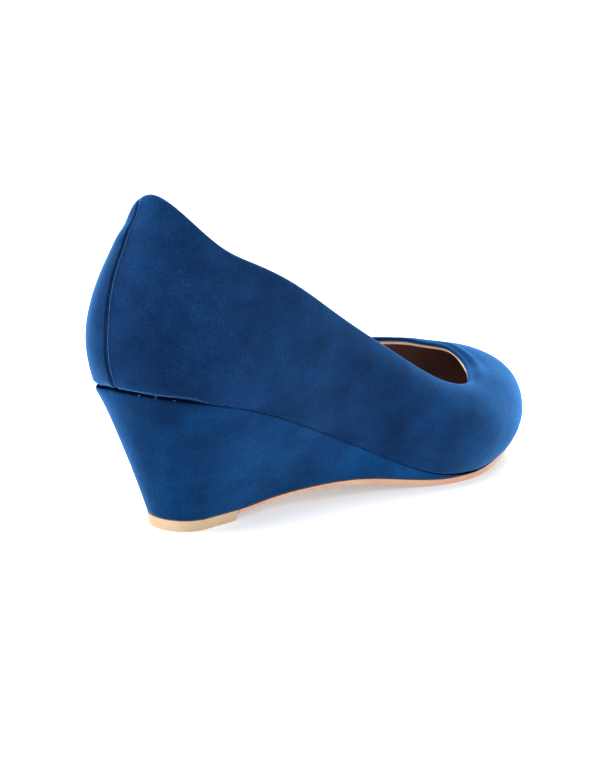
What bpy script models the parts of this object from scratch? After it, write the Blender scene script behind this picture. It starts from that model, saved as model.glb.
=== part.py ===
# Wedge pump: one right shoe, low cut, with a covered wedge and a small top piece under the heel.
# Metres. +X points to the toe, +Y to the inner side of the foot, +Z up, floor at zero.

import math

import bmesh
import bpy
import numpy as np

# Driving dimensions of the last and the bottom
LENGTH = 0.243
BALL_WIDTH = 0.072
SEAT_HEIGHT = 0.0503
BACK_HEIGHT = 0.0623
TOE_SPRING = 0.0122
ARCH_RISE = 0.0056

# Thicknesses and allowances
WALL = 0.0018
LASTING_MARGIN = 0.010
INSOLE_THICKNESS = 0.0025
OUTSOLE_THICKNESS = 0.0024
SHANK_THICKNESS = 0.0012
WEDGE_EDGE = 0.0008
WEDGE_INSET = 0.0002
WEDGE_HOLLOW = 0.0005
GAP = 0.0003
INSOLE_CLEARANCE = 0.0006

# Top piece under the heel
TOP_PIECE_SETBACK = 0.0203
TOP_PIECE_LENGTH = 0.0277
TOP_PIECE_WIDTH = 0.0242
TOP_PIECE_ROUND = 0.0125
TOP_PIECE_THICKNESS = 0.0040
TOP_PIECE_TAPER = 0.0007

# Places along the sole, as shares of LENGTH
ARCH_CREST = 0.37
TREAD_BACK = 0.615
TREAD_FRONT = 0.675
SPRING_POWER = 1.4
SHANK_END = 0.30
FULL_SOLE_START = 0.50

# Samples around the shoe, up the wall and along each slab
AROUND = 72
UP_WALL = 12
SLAB_STEPS = 26
WEDGE_RINGS = 5
FRONT_SEARCH = 400

# Edges sharper than these angles, in degrees, stay crisp
UPPER_CREASE = 50
SLAB_CREASE = 40

# Sections of the last. along and top_along are shares of LENGTH. width and top_width are shares of
# BALL_WIDTH from the centre line, and top_height is a share of BACK_HEIGHT above the sole line.
# The wall leaves the sole by bulge and rise and meets the topline by flare and drop, all four
# as shares of the wall's own height there.
COLUMNS = ("along", "width", "top_along", "top_width", "top_height",
           "bulge", "rise", "flare", "drop")
BACK_SECTION = (0.00, 0.018, 0.047, 0.045, 0.985, 0.20, 0.36, 0.08, 0.25)
TIP_SECTION = (1.00, 0.10, 0.790, 0.00, 0.68, 0.24, 0.60, 0.94, 0.00)
OUTER_SECTIONS = (
    (0.05, 0.29, 0.065, 0.16, 0.945, 0.16, 0.37, 0.10, 0.30),
    (0.10, 0.36, 0.110, 0.25, 0.82, 0.15, 0.40, 0.12, 0.32),
    (0.17, 0.38, 0.165, 0.31, 0.775, 0.14, 0.43, 0.13, 0.35),
    (0.24, 0.38, 0.230, 0.36, 0.75, 0.14, 0.45, 0.13, 0.35),
    (0.32, 0.36, 0.310, 0.39, 0.70, 0.14, 0.46, 0.14, 0.35),
    (0.48, 0.39, 0.465, 0.43, 0.64, 0.20, 0.43, 0.22, 0.28),
    (0.64, 0.49, 0.615, 0.46, 0.60, 0.30, 0.34, 0.36, 0.20),
    (0.80, 0.43, 0.710, 0.33, 0.60, 0.35, 0.35, 0.55, 0.00),
    (0.93, 0.23, 0.765, 0.18, 0.62, 0.27, 0.45, 0.80, 0.00),
)
INNER_SECTIONS = (
    (0.05, 0.285, 0.072, 0.16, 0.888, 0.15, 0.37, 0.15, 0.30),
    (0.10, 0.36, 0.110, 0.25, 0.83, 0.15, 0.40, 0.12, 0.32),
    (0.17, 0.38, 0.165, 0.31, 0.77, 0.15, 0.43, 0.13, 0.35),
    (0.24, 0.35, 0.235, 0.35, 0.73, 0.17, 0.45, 0.13, 0.35),
    (0.32, 0.30, 0.320, 0.38, 0.70, 0.20, 0.46, 0.14, 0.33),
    (0.48, 0.27, 0.470, 0.41, 0.74, 0.22, 0.42, 0.17, 0.28),
    (0.64, 0.46, 0.610, 0.42, 0.77, 0.18, 0.34, 0.25, 0.18),
    (0.80, 0.51, 0.730, 0.29, 0.75, 0.21, 0.36, 0.45, 0.12),
    (0.93, 0.41, 0.775, 0.14, 0.71, 0.25, 0.50, 0.68, 0.09),
)

# Heel lift along the sole: share of LENGTH, share of the lift at the seat
LIFT_SECTIONS = (
    (0.00, 1.00), (0.15, 0.86), (0.30, 0.60), (0.45, 0.30), (0.58, 0.06), (0.66, 0.01), (0.76, 0.00),
)

# How far the bottom edge has opened from the top piece's width to the full feather line
SPREAD_SECTIONS = (
    (0.20, 0.00), (0.29, 0.05), (0.37, 0.42), (0.45, 0.66), (0.55, 0.90), (0.64, 1.00),
)

OUTER, INNER = -1.0, 1.0


# Curves through the tables

def closed_curve(knots, values, places):
    """Closed cubic spline with a period of one turn, through values at the knots."""
    knots = np.asarray(knots)
    values = np.asarray(values)
    count = len(knots)
    steps = np.diff(np.append(knots, knots[0] + 2 * math.pi))
    system = np.zeros((count, count))
    right = np.zeros_like(values)
    for i in range(count):
        before, after = steps[i - 1], steps[i]
        j = (i + 1) % count
        system[i, i - 1] += before
        system[i, i] += 2 * (before + after)
        system[i, j] += after
        right[i] = 6 * ((values[j] - values[i]) / after - (values[i] - values[i - 1]) / before)
    bend = np.linalg.solve(system, right)
    places = np.mod(places, 2 * math.pi)
    i = np.clip(np.searchsorted(knots, places, side="right") - 1, 0, count - 1)
    j = (i + 1) % count
    step = steps[i][:, None]
    a = (places - knots[i])[:, None]
    b = step - a
    curved = (bend[i] * b**3 + bend[j] * a**3) / (6 * step)
    chord = (values[i] / step - bend[i] * step / 6) * b
    return curved + chord + (values[j] / step - bend[j] * step / 6) * a


def level_ended_curve(rows, places):
    """Cubic spline through rows of place and value, free at its start and level at its end."""
    knots, values = np.array(rows).T
    count = len(knots)
    steps = np.diff(knots)
    slopes = np.diff(values) / steps
    system = np.eye(count)
    right = np.zeros(count)
    for i in range(1, count - 1):
        system[i, i - 1:i + 2] = steps[i - 1], 2 * (steps[i - 1] + steps[i]), steps[i]
        right[i] = 6 * (slopes[i] - slopes[i - 1])
    system[-1, -2:] = steps[-1], 2 * steps[-1]
    right[-1] = -6 * slopes[-1]
    bend = np.linalg.solve(system, right)
    places = np.clip(places, knots[0], knots[-1])
    i = np.clip(np.searchsorted(knots, places, side="right") - 1, 0, count - 2)
    a = places - knots[i]
    b = steps[i] - a
    curved = (bend[i] * b**3 + bend[i + 1] * a**3) / (6 * steps[i])
    chord = (values[i] / steps[i] - bend[i] * steps[i] / 6) * b
    return curved + chord + (values[i + 1] / steps[i] - bend[i + 1] * steps[i] / 6) * a


def ease(start, end, x):
    """Zero before start, one after end, with level ends between."""
    u = np.clip((x - start) / (end - start), 0, 1)
    return u * u * (3 - 2 * u)


# The last: sections turned into one closed loop of rows, by angle around the shoe

def angle_at(along):
    return math.acos(1 - 2 * along)


def last_knots():
    outer = [angle_at(row[0]) for row in OUTER_SECTIONS]
    inner = [2 * math.pi - angle_at(row[0]) for row in INNER_SECTIONS]
    return [0.0] + outer + [math.pi] + inner[::-1]


def last_rows():
    """Rows in metres around the shoe; the wall's four shares are left as they are."""
    scale = np.array([LENGTH, BALL_WIDTH, LENGTH, BALL_WIDTH, BACK_HEIGHT, 1, 1, 1, 1])
    mirror = np.array([1, OUTER, 1, OUTER, 1, 1, 1, 1, 1])
    outer = [np.array(row) * scale * mirror for row in OUTER_SECTIONS]
    inner = [np.array(row) * scale for row in INNER_SECTIONS]
    return [np.array(BACK_SECTION) * scale] + outer + [np.array(TIP_SECTION) * scale] + inner[::-1]


def last_at(angles):
    """The columns of the table at any angles, by name."""
    values = closed_curve(last_knots(), last_rows(), angles)
    return {name: values[:, i] for i, name in enumerate(COLUMNS)}


def feather_width(x, side):
    """Distance of the feather line from the centre line, signed, at x on one side."""
    angles = np.arccos(np.clip(1 - 2 * np.asarray(x) / LENGTH, -1, 1))
    return last_at(angles if side == OUTER else 2 * math.pi - angles)["width"]


# Heights along the sole

def floor_curve(x):
    """Underside of the outsole: arch behind the tread, flat tread, toe spring before it."""
    start = TOP_PIECE_THICKNESS - SHANK_THICKNESS
    breast = TOP_PIECE_SETBACK + TOP_PIECE_LENGTH
    arch = start + (ARCH_RISE - start) * ease(breast, ARCH_CREST * LENGTH, x)
    arch = arch * (1 - ease(ARCH_CREST * LENGTH, TREAD_BACK * LENGTH, x))
    u = np.clip((x / LENGTH - TREAD_FRONT) / (1 - TREAD_FRONT), 0, None)
    return arch + TOE_SPRING * u**SPRING_POWER


def outsole_thickness(x):
    grown = ease(SHANK_END * LENGTH, FULL_SOLE_START * LENGTH, x)
    return SHANK_THICKNESS + (OUTSOLE_THICKNESS - SHANK_THICKNESS) * grown


def sole_line(x):
    """Height of the feather line, where the upper turns under."""
    u = np.clip((x / LENGTH - TREAD_FRONT) / (1 - TREAD_FRONT), 0, None)
    flat = OUTSOLE_THICKNESS + GAP
    lift = level_ended_curve(LIFT_SECTIONS, x / LENGTH)
    return flat + (SEAT_HEIGHT - flat) * lift + TOE_SPRING * u**SPRING_POWER


def wedge_underside(x):
    return np.where(x < TOP_PIECE_SETBACK + TOP_PIECE_LENGTH, TOP_PIECE_THICKNESS,
                    floor_curve(x) + outsole_thickness(x)) + GAP


def wedge_front():
    """Where the wedge has thinned to its edge, under the ball."""
    x = np.linspace(FULL_SOLE_START, TREAD_FRONT, FRONT_SEARCH) * LENGTH
    thick = sole_line(x) - GAP - wedge_underside(x)
    return float(x[np.argmax(thick < WEDGE_EDGE)])


# Outlines

def outward(loop):
    """Unit normals of a closed loop in plan, pointing away from its middle."""
    along = np.roll(loop, -1, 0) - np.roll(loop, 1, 0)
    normal = np.column_stack([along[:, 1], -along[:, 0], np.zeros(len(loop))])
    normal /= np.linalg.norm(normal, axis=1)[:, None]
    return -normal if normal[0, 0] > 0 else normal


def feather_loop(inset, rise):
    """The feather line all round, drawn in by inset and lifted by rise above the sole line."""
    angles = 2 * math.pi * np.arange(AROUND) / AROUND
    x = LENGTH * (1 - np.cos(angles)) / 2
    loop = np.column_stack([x, last_at(angles)["width"], np.zeros(AROUND)])
    loop = loop - outward(loop) * inset
    loop[:, 2] = sole_line(loop[:, 0]) + rise
    return loop


def bottom_width(x, side):
    """Half width of the bottom edge: the top piece's round back, opening to the feather line."""
    half = TOP_PIECE_WIDTH / 2
    back = np.clip((TOP_PIECE_SETBACK + TOP_PIECE_ROUND - x) / TOP_PIECE_ROUND, 0, 1)
    spread = level_ended_curve(SPREAD_SECTIONS, x / LENGTH)
    full = feather_width(x, side)
    return (side * half + (full - side * half) * spread) * np.sqrt(1 - back**2)


def two_sides(x, width, height):
    """A ring as two runs of points, outer and inner, at the same places along the shoe."""
    runs = [np.column_stack([x, width(x, side), height]) for side in (OUTER, INNER)]
    return np.array(runs)


# Meshes

def add_object(name, mesh, material, root, smooth_angle):
    mesh.materials.append(material)
    mesh.shade_smooth()
    mesh.set_sharp_from_angle(angle=math.radians(smooth_angle))
    item = bpy.data.objects.new(name, mesh)
    item.parent = root
    root.users_collection[0].objects.link(item)
    return item


def slab(name, rings):
    """Closed solid through rings from the bottom up, each ring an outer and an inner run."""
    bm = bmesh.new()
    steps = rings[0].shape[1]
    rows = []
    for ring in rings:
        path = list(ring[0]) + list(ring[1][::-1])
        rows.append([bm.verts.new(point) for point in path])
    around = 2 * steps
    for low, high in zip(rows, rows[1:]):
        for i in range(around):
            j = (i + 1) % around
            bm.faces.new((low[i], low[j], high[j], high[i]))
    for k in range(steps - 1):
        far = around - 1 - k
        bm.faces.new((rows[0][k], rows[0][far], rows[0][far - 1], rows[0][k + 1]))
        bm.faces.new((rows[-1][k], rows[-1][k + 1], rows[-1][far - 1], rows[-1][far]))
    bmesh.ops.remove_doubles(bm, verts=bm.verts, dist=1e-6)
    bmesh.ops.recalc_face_normals(bm, faces=bm.faces)
    mesh = bpy.data.meshes.new(name)
    bm.to_mesh(mesh)
    bm.free()
    return mesh


def upper_rings():
    """Rings of the upper's outer face: the margin turned under, the feather line, the wall."""
    angles = 2 * math.pi * np.arange(AROUND) / AROUND
    last = last_at(angles)
    foot = feather_loop(0, 0)
    margin = feather_loop(LASTING_MARGIN, 0)
    top = np.column_stack([last["top_along"], last["top_width"], np.zeros(AROUND)])
    top[:, 2] = sole_line(top[:, 0]) + last["top_height"]
    tall = (top[:, 2] - foot[:, 2])[:, None]
    up = np.array([0, 0, 1])
    low_handle = foot + tall * (outward(foot) * last["bulge"][:, None] + up * last["rise"][:, None])
    high_handle = top + tall * (outward(top) * last["flare"][:, None] - up * last["drop"][:, None])
    rings = [margin, foot]
    for i in range(1, UP_WALL + 1):
        t = i / UP_WALL
        s = 1 - t
        rings.append(s**3 * foot + 3 * t * s**2 * low_handle + 3 * t**2 * s * high_handle + t**3 * top)
    return rings


def make_upper(material, root):
    """One hollow shell, open at the topline and inside the margin underneath."""
    bm = bmesh.new()
    rows = [[bm.verts.new(point) for point in ring] for ring in upper_rings()]
    for low, high in zip(rows, rows[1:]):
        for i in range(AROUND):
            j = (i + 1) % AROUND
            bm.faces.new((low[i], low[j], high[j], high[i]))
    mesh = bpy.data.meshes.new("upper")
    bm.to_mesh(mesh)
    bm.free()
    item = add_object("upper", mesh, material, root, UPPER_CREASE)
    wall = item.modifiers.new("wall", "SOLIDIFY")
    wall.thickness = WALL
    wall.offset = -1
    wall.use_even_offset = True
    return item


def make_insole(material, root):
    """Board on the turned-under margin, inside the wall."""
    under = WALL + INSOLE_CLEARANCE
    tip = AROUND // 2
    rings = []
    for rise in (under, under + INSOLE_THICKNESS):
        loop = feather_loop(WALL + INSOLE_CLEARANCE, rise)
        outer = loop[:tip + 1]
        inner = np.vstack([loop[:1], loop[:tip - 1:-1]])
        rings.append(np.array([outer, inner]))
    return add_object("insole", slab("insole", rings), material, root, SLAB_CREASE)


def make_wedge(material, root):
    """Block from the heel seat to a thin edge under the ball, drawn in to the top piece below."""
    front = wedge_front()
    back = feather_width([0.0], OUTER)[0]
    turn = np.linspace(0, math.pi / 2, SLAB_STEPS)
    top_x = WEDGE_INSET + (front - WEDGE_INSET) * (1 - np.cos(turn))
    low_x = TOP_PIECE_SETBACK + (front - TOP_PIECE_SETBACK) * (1 - np.cos(turn))

    def top_width(x, side):
        shifted = np.clip(x - WEDGE_INSET * (1 - x / front), 0, LENGTH)
        full = feather_width(shifted, side)
        return full - side * np.minimum(WEDGE_INSET, np.abs(full - back) / 4)

    low = two_sides(low_x, bottom_width, wedge_underside(low_x))
    top = two_sides(top_x, top_width, sole_line(top_x) - GAP)
    rings = []
    for i in range(WEDGE_RINGS):
        t = i / (WEDGE_RINGS - 1)
        ring = low + (top - low) * t
        tall = (top - low)[:, :, 2] / SEAT_HEIGHT
        pull = 4 * t * (1 - t) * WEDGE_HOLLOW * tall
        ring[:, :, 0] += pull * np.cos(turn)**2
        ring[:, :, 1] -= np.array([[OUTER], [INNER]]) * pull * np.sin(turn)
        rings.append(ring)
    return add_object("wedge", slab("wedge", rings), material, root, SLAB_CREASE)


def make_outsole(material, root):
    """Thin sole from the top piece's breast to the toe."""
    start = TOP_PIECE_SETBACK + TOP_PIECE_LENGTH + GAP
    turn = np.linspace(0, math.pi / 2, SLAB_STEPS)
    x = start + (LENGTH - start) * np.sin(turn)
    low = two_sides(x, bottom_width, floor_curve(x))
    high = two_sides(x, bottom_width, floor_curve(x) + outsole_thickness(x))
    return add_object("outsole", slab("outsole", [low, high]), material, root, SLAB_CREASE)


def make_top_piece(material, root):
    """D-shaped block under the heel, drawn in a little towards the floor."""
    turn = np.linspace(0, math.pi / 2, SLAB_STEPS // 2)
    x = TOP_PIECE_SETBACK + TOP_PIECE_LENGTH * (1 - np.cos(turn))
    high = two_sides(x, bottom_width, np.full(len(x), TOP_PIECE_THICKNESS))
    low = high.copy()
    middle = TOP_PIECE_SETBACK + TOP_PIECE_LENGTH / 2
    low[:, :, 0] = middle + (x - middle) * (1 - 2 * TOP_PIECE_TAPER / TOP_PIECE_LENGTH)
    low[:, :, 1] *= 1 - 2 * TOP_PIECE_TAPER / TOP_PIECE_WIDTH
    low[:, :, 2] = 0
    return add_object("heel_tip", slab("heel_tip", [low, high]), material, root, SLAB_CREASE)


def make_material(name, colour, roughness, sheen=0.0):
    material = bpy.data.materials.new(name)
    material.use_nodes = True
    shader = material.node_tree.nodes["Principled BSDF"]
    shader.inputs["Base Color"].default_value = (*colour, 1)
    shader.inputs["Roughness"].default_value = roughness
    shader.inputs["Metallic"].default_value = 0.0
    shader.inputs["Sheen Weight"].default_value = sheen
    return material


def stand_on_floor(root, items):
    """Puts the middle of the shoe's box over the origin, with its underside on the floor."""
    bpy.context.view_layer.update()
    corners = [item.matrix_world @ vertex.co for item in items for vertex in item.data.vertices]
    for axis in (0, 1):
        values = [corner[axis] for corner in corners]
        root.location[axis] = -(min(values) + max(values)) / 2


def main():
    for item in list(bpy.data.objects):
        bpy.data.objects.remove(item, do_unlink=True)
    collection = bpy.data.collections.new("wedge_pump")
    bpy.context.scene.collection.children.link(collection)
    root = bpy.data.objects.new("shoe_frame", None)
    collection.objects.link(root)

    suede = make_material("blue_suede", (0.012, 0.085, 0.29), 0.9, sheen=0.6)
    board = make_material("insole_leather", (0.12, 0.06, 0.045), 0.6)
    tan = make_material("tan_sole", (0.62, 0.30, 0.18), 0.55)
    rubber = make_material("beige_rubber", (0.66, 0.45, 0.28), 0.5)

    items = [
        make_upper(suede, root),
        make_insole(board, root),
        make_wedge(suede, root),
        make_outsole(tan, root),
        make_top_piece(rubber, root),
    ]
    stand_on_floor(root, items)


main()
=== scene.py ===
import math
import random

import bmesh
import bpy
import numpy as np
from mathutils import Matrix, Vector, noise


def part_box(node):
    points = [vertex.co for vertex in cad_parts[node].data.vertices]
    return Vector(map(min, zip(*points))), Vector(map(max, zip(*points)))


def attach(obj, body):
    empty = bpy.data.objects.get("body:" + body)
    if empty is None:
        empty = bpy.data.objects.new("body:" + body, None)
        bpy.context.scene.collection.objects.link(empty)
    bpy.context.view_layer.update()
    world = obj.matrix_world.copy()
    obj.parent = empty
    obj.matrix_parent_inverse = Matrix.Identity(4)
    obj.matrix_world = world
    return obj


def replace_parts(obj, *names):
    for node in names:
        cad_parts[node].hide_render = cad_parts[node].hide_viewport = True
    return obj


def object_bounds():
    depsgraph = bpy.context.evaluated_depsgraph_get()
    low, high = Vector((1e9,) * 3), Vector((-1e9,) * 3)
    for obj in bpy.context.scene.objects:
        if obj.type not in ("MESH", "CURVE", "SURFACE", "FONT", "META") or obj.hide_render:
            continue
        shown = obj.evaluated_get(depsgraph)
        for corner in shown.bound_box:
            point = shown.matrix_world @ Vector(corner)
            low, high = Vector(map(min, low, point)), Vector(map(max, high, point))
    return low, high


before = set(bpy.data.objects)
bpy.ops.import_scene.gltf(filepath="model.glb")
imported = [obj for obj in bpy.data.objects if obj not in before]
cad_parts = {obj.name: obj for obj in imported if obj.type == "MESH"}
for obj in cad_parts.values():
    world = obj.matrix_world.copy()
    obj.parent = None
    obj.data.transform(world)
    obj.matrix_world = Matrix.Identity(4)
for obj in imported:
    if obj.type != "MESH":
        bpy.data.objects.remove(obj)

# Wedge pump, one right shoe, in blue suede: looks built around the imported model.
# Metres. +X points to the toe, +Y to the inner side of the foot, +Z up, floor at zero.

cad_low, cad_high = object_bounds()

# Driving dimensions of the last and the bottom, as the solids have them
LENGTH = 0.243
BALL_WIDTH = 0.072
SEAT_HEIGHT = 0.0503
BACK_HEIGHT = 0.0623
TOE_SPRING = 0.0122
ARCH_RISE = 0.0056
WALL = 0.0018
LASTING_MARGIN = 0.010
INSOLE_THICKNESS = 0.0025
INSOLE_CLEARANCE = 0.0006
OUTSOLE_THICKNESS = 0.0024
SHANK_THICKNESS = 0.0012
WEDGE_EDGE = 0.0008
WEDGE_INSET = 0.0002
WEDGE_HOLLOW = 0.0005
GAP = 0.0003
TOP_PIECE_SETBACK = 0.0203
TOP_PIECE_LENGTH = 0.0277
TOP_PIECE_WIDTH = 0.0242
TOP_PIECE_ROUND = 0.0125
TOP_PIECE_THICKNESS = 0.0040
TOP_PIECE_TAPER = 0.0007

# Places along the sole, as shares of LENGTH
ARCH_CREST = 0.37
TREAD_BACK = 0.615
TREAD_FRONT = 0.675
SPRING_POWER = 1.4
SHANK_END = 0.30
FULL_SOLE_START = 0.50

# Sections of the last, with the same columns and shares as the solids: fitted to the photo's outline,
# rounded, and corrected
COLUMNS = ("along", "width", "top_along", "top_width", "top_height",
           "bulge", "rise", "flare", "drop")
BACK_SECTION = (0.00, 0.018, 0.047, 0.045, 0.985, 0.20, 0.36, 0.08, 0.25)
TIP_SECTION = (1.00, 0.10, 0.790, 0.00, 0.68, 0.24, 0.60, 0.94, 0.00)
OUTER_SECTIONS = (
    (0.05, 0.29, 0.065, 0.16, 0.945, 0.16, 0.37, 0.10, 0.30),
    (0.10, 0.36, 0.110, 0.25, 0.82, 0.15, 0.40, 0.12, 0.32),
    (0.17, 0.38, 0.165, 0.31, 0.775, 0.14, 0.43, 0.13, 0.35),
    (0.24, 0.38, 0.230, 0.36, 0.75, 0.14, 0.45, 0.13, 0.35),
    (0.32, 0.36, 0.310, 0.39, 0.70, 0.14, 0.46, 0.14, 0.35),
    (0.48, 0.39, 0.465, 0.43, 0.64, 0.20, 0.43, 0.22, 0.28),
    (0.64, 0.49, 0.615, 0.46, 0.60, 0.30, 0.34, 0.36, 0.20),
    (0.80, 0.43, 0.710, 0.33, 0.60, 0.35, 0.35, 0.55, 0.00),
    (0.93, 0.23, 0.765, 0.18, 0.62, 0.27, 0.45, 0.80, 0.00),
)
INNER_SECTIONS = (
    (0.05, 0.285, 0.072, 0.16, 0.888, 0.15, 0.37, 0.15, 0.30),
    (0.10, 0.36, 0.110, 0.25, 0.83, 0.15, 0.40, 0.12, 0.32),
    (0.17, 0.38, 0.165, 0.31, 0.77, 0.15, 0.43, 0.13, 0.35),
    (0.24, 0.35, 0.235, 0.35, 0.73, 0.17, 0.45, 0.13, 0.35),
    (0.32, 0.30, 0.320, 0.38, 0.70, 0.20, 0.46, 0.14, 0.33),
    (0.48, 0.27, 0.470, 0.41, 0.74, 0.22, 0.42, 0.17, 0.28),
    (0.64, 0.46, 0.610, 0.42, 0.77, 0.18, 0.34, 0.25, 0.18),
    (0.80, 0.51, 0.730, 0.29, 0.75, 0.21, 0.36, 0.45, 0.12),
    (0.93, 0.41, 0.775, 0.14, 0.71, 0.25, 0.50, 0.68, 0.09),
)
LIFT_SECTIONS = (
    (0.00, 1.00), (0.15, 0.86), (0.30, 0.60), (0.45, 0.30), (0.58, 0.06), (0.66, 0.01), (0.76, 0.00),
)
SPREAD_SECTIONS = (
    (0.20, 0.00), (0.29, 0.05), (0.37, 0.42), (0.45, 0.66), (0.55, 0.90), (0.64, 1.00),
)
OUTER, INNER = -1.0, 1.0

# Edges and thin layers that only show here
UNDER_TUCK = 0.0021
UNDER_RISE = 0.0013
WEDGE_ROUND = 0.0006
WEDGE_DROP = 0.0018
FOLD_DEPTH = 0.0019
FOLD_AT_THROAT = 0.0003
LINING_THICKNESS = 0.0004
LINING_EDGE_WIDTH = 0.0013
LINING_EDGE_THICKNESS = 0.0016
SEAM_STRAY = 0.0004
SEAM_STRAY_LOW = 0.0014
SEAM_STRAY_TOP = 0.0005
SEAM_DEPTH = 0.0009
CORNER_AT = 0.006
CORNER_SHIFT = (-0.0001, 0.0003, -0.0010)
SOCK_DOME = 0.0007
SOCK_CLEARANCE = 0.0002
RIM_ROUND = 0.0016
RIM_CREST = 0.0011
RIM_INSIDE = 0.0006

# Samples round the shoe and up its wall
AROUND = 420
SEAM_AROUND = 80
SEAM_MIDDLE = 0.020
SEAM_REACH = 0.090
INSIDE_AROUND = 300
EDGE_AROUND = 700
WALL_ROWS = 62
RIM_ROWS = 15
INSIDE_ROWS = 16
LINING_ROWS = 18
SOCK_STEPS = 160
SOCK_COLUMNS = 37
WEDGE_STEPS = 150
WEDGE_RINGS = 44
SOLE_STEPS = 170
TOP_PIECE_STEPS = 60

# Soft swells of the suede: height, distance below the rim, spread
COLLAR_SWELLS = ((0.00025, 0.0022, 0.0020), (-0.00026, 0.0070, 0.0022), (0.00026, 0.0120, 0.0030))
THROAT_SWELLS = ((-0.00050, 0.0018, 0.0011), (0.00055, 0.0041, 0.0018))

# Layers of unevenness: size, scale per metre, seed
SUEDE_WAVES = ((0.00026, 42, 0.0), (0.00008, 130, 3.0))
RAGGED_EDGE = ((0.75, 60, 7.0), (0.35, 240, 7.0), (0.25, 800, 2.0))
TRIMMED_EDGE = ((0.00022, 110, 1.0), (0.00009, 420, 4.0))
WORN_EDGE = ((0.30, 140, 6.0), (0.20, 420, 8.0))
WEDGE_WAVES = ((0.00020, 48), (0.00007, 150))

# Stitches of the back seam, and the dark tube painted as shade in its crease
STITCH_PITCH = 0.0013
STITCH_RADIUS = 0.00015
CREASE_SHADE_RADIUS = 0.00034

# Traces of glue: angle round the shoe, how many; and specks of lint
GLUE_SEED = 11
GLUE_SIZES = (0.00012, 0.00024)
GLUE_PLACES = (
    (0.20, 2), (0.31, 2), (0.40, 3), (0.66, 2), (1.42, 2), (1.98, 2), (2.3, 2), (4.1, 3), (5.2, 3),
)
LINT_SEED = 7
LINT_COUNT = 480
LINT_SIZES = (0.00004, 0.00009)

# Suede: dark and light of the nap, sheen, and its shades along the shoe as place and colour; the shades
# along the shoe are partly the nap's lie and partly painted light, darker at the heel and lighter towards
# the toe
UPPER_NAP_AND_LIGHT = ((0.0033, 0.0190, 0.070), (0.0048, 0.0305, 0.107), 1.0, (
    (0.0, (0.86, 0.90, 0.90)), (0.40, (0.76, 0.84, 0.88)), (0.62, (0.84, 1.0, 1.02)),
    (0.85, (1.05, 1.42, 1.30)),
))
WEDGE_NAP_AND_LIGHT = ((0.0026, 0.0235, 0.084), (0.0037, 0.0370, 0.128), 0.88, (
    (0.0, (0.62, 0.78, 0.80)), (0.18, (0.90, 0.96, 0.98)), (0.35, (0.82, 1.28, 1.30)),
    (0.60, (0.85, 1.55, 1.46)),
))

# Stage: floor, and lights as name, place, target, size and power
FLOOR_SIZE = 60.0
FLOOR_GLOW = 0.3
LIGHTS = (
    ("top_light", (0.1, 0.1, 1.2), (0, 0, 0), 1.2, 13),
    ("left_light", (-0.9, 0.7, 0.6), (0, 0, 0.04), 0.8, 11),
    ("front_light", (0.9, 0.2, 0.7), (0.05, 0, 0.03), 0.8, 1.6),
)

# Camera in the shoe's own frame, fitted to the photo's outline and rounded
CAMERA_AZIMUTH = 39.69
CAMERA_ELEVATION = 10.65
CAMERA_ROLL = 3.20
CAMERA_DISTANCE = 0.4411
CAMERA_LENS = 53.76
AIM = (0.1100, 0.0, 0.0450)
AIM_RIGHT = -0.0119
AIM_UP = -0.0036

# The shoe's own frame starts under the back of the heel seat, on the centre line
tip_low, tip_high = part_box("heel_tip")
SHOE = np.array([tip_low.x - TOP_PIECE_SETBACK, (tip_low.y + tip_high.y) / 2, 0.0])


# Curves through the tables

def closed_curve(knots, values, places):
    """Closed cubic spline with a period of one turn, through values at the knots."""
    knots = np.asarray(knots)
    values = np.asarray(values)
    count = len(knots)
    steps = np.diff(np.append(knots, knots[0] + 2 * math.pi))
    system = np.zeros((count, count))
    right = np.zeros_like(values)
    for i in range(count):
        before, after = steps[i - 1], steps[i]
        j = (i + 1) % count
        system[i, i - 1] += before
        system[i, i] += 2 * (before + after)
        system[i, j] += after
        right[i] = 6 * ((values[j] - values[i]) / after - (values[i] - values[i - 1]) / before)
    bend = np.linalg.solve(system, right)
    places = np.mod(places, 2 * math.pi)
    i = np.clip(np.searchsorted(knots, places, side="right") - 1, 0, count - 1)
    j = (i + 1) % count
    step = steps[i][:, None]
    a = (places - knots[i])[:, None]
    b = step - a
    curved = (bend[i] * b**3 + bend[j] * a**3) / (6 * step)
    chord = (values[i] / step - bend[i] * step / 6) * b
    return curved + chord + (values[j] / step - bend[j] * step / 6) * a


def level_ended_curve(rows, places):
    """Cubic spline through rows of place and value, free at its start and level at its end."""
    knots, values = np.array(rows).T
    count = len(knots)
    steps = np.diff(knots)
    slopes = np.diff(values) / steps
    system = np.eye(count)
    right = np.zeros(count)
    for i in range(1, count - 1):
        system[i, i - 1:i + 2] = steps[i - 1], 2 * (steps[i - 1] + steps[i]), steps[i]
        right[i] = 6 * (slopes[i] - slopes[i - 1])
    system[-1, -2:] = steps[-1], 2 * steps[-1]
    right[-1] = -6 * slopes[-1]
    bend = np.linalg.solve(system, right)
    places = np.clip(places, knots[0], knots[-1])
    i = np.clip(np.searchsorted(knots, places, side="right") - 1, 0, count - 2)
    a = places - knots[i]
    b = steps[i] - a
    curved = (bend[i] * b**3 + bend[i + 1] * a**3) / (6 * steps[i])
    chord = (values[i] / steps[i] - bend[i] * steps[i] / 6) * b
    return curved + chord + (values[i + 1] / steps[i] - bend[i + 1] * steps[i] / 6) * a


def ease(start, end, x):
    """Zero before start, one after end, with level ends between."""
    u = np.clip((x - start) / (end - start), 0, 1)
    return u * u * (3 - 2 * u)


def bell(x, middle, width):
    """One at the middle, falling away softly over the width on both sides."""
    return np.exp(-((x - middle) / width)**2)


# The last

def angle_at(along):
    return math.acos(1 - 2 * along)


def last_knots():
    outer = [angle_at(row[0]) for row in OUTER_SECTIONS]
    inner = [2 * math.pi - angle_at(row[0]) for row in INNER_SECTIONS]
    return [0.0] + outer + [math.pi] + inner[::-1]


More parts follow.
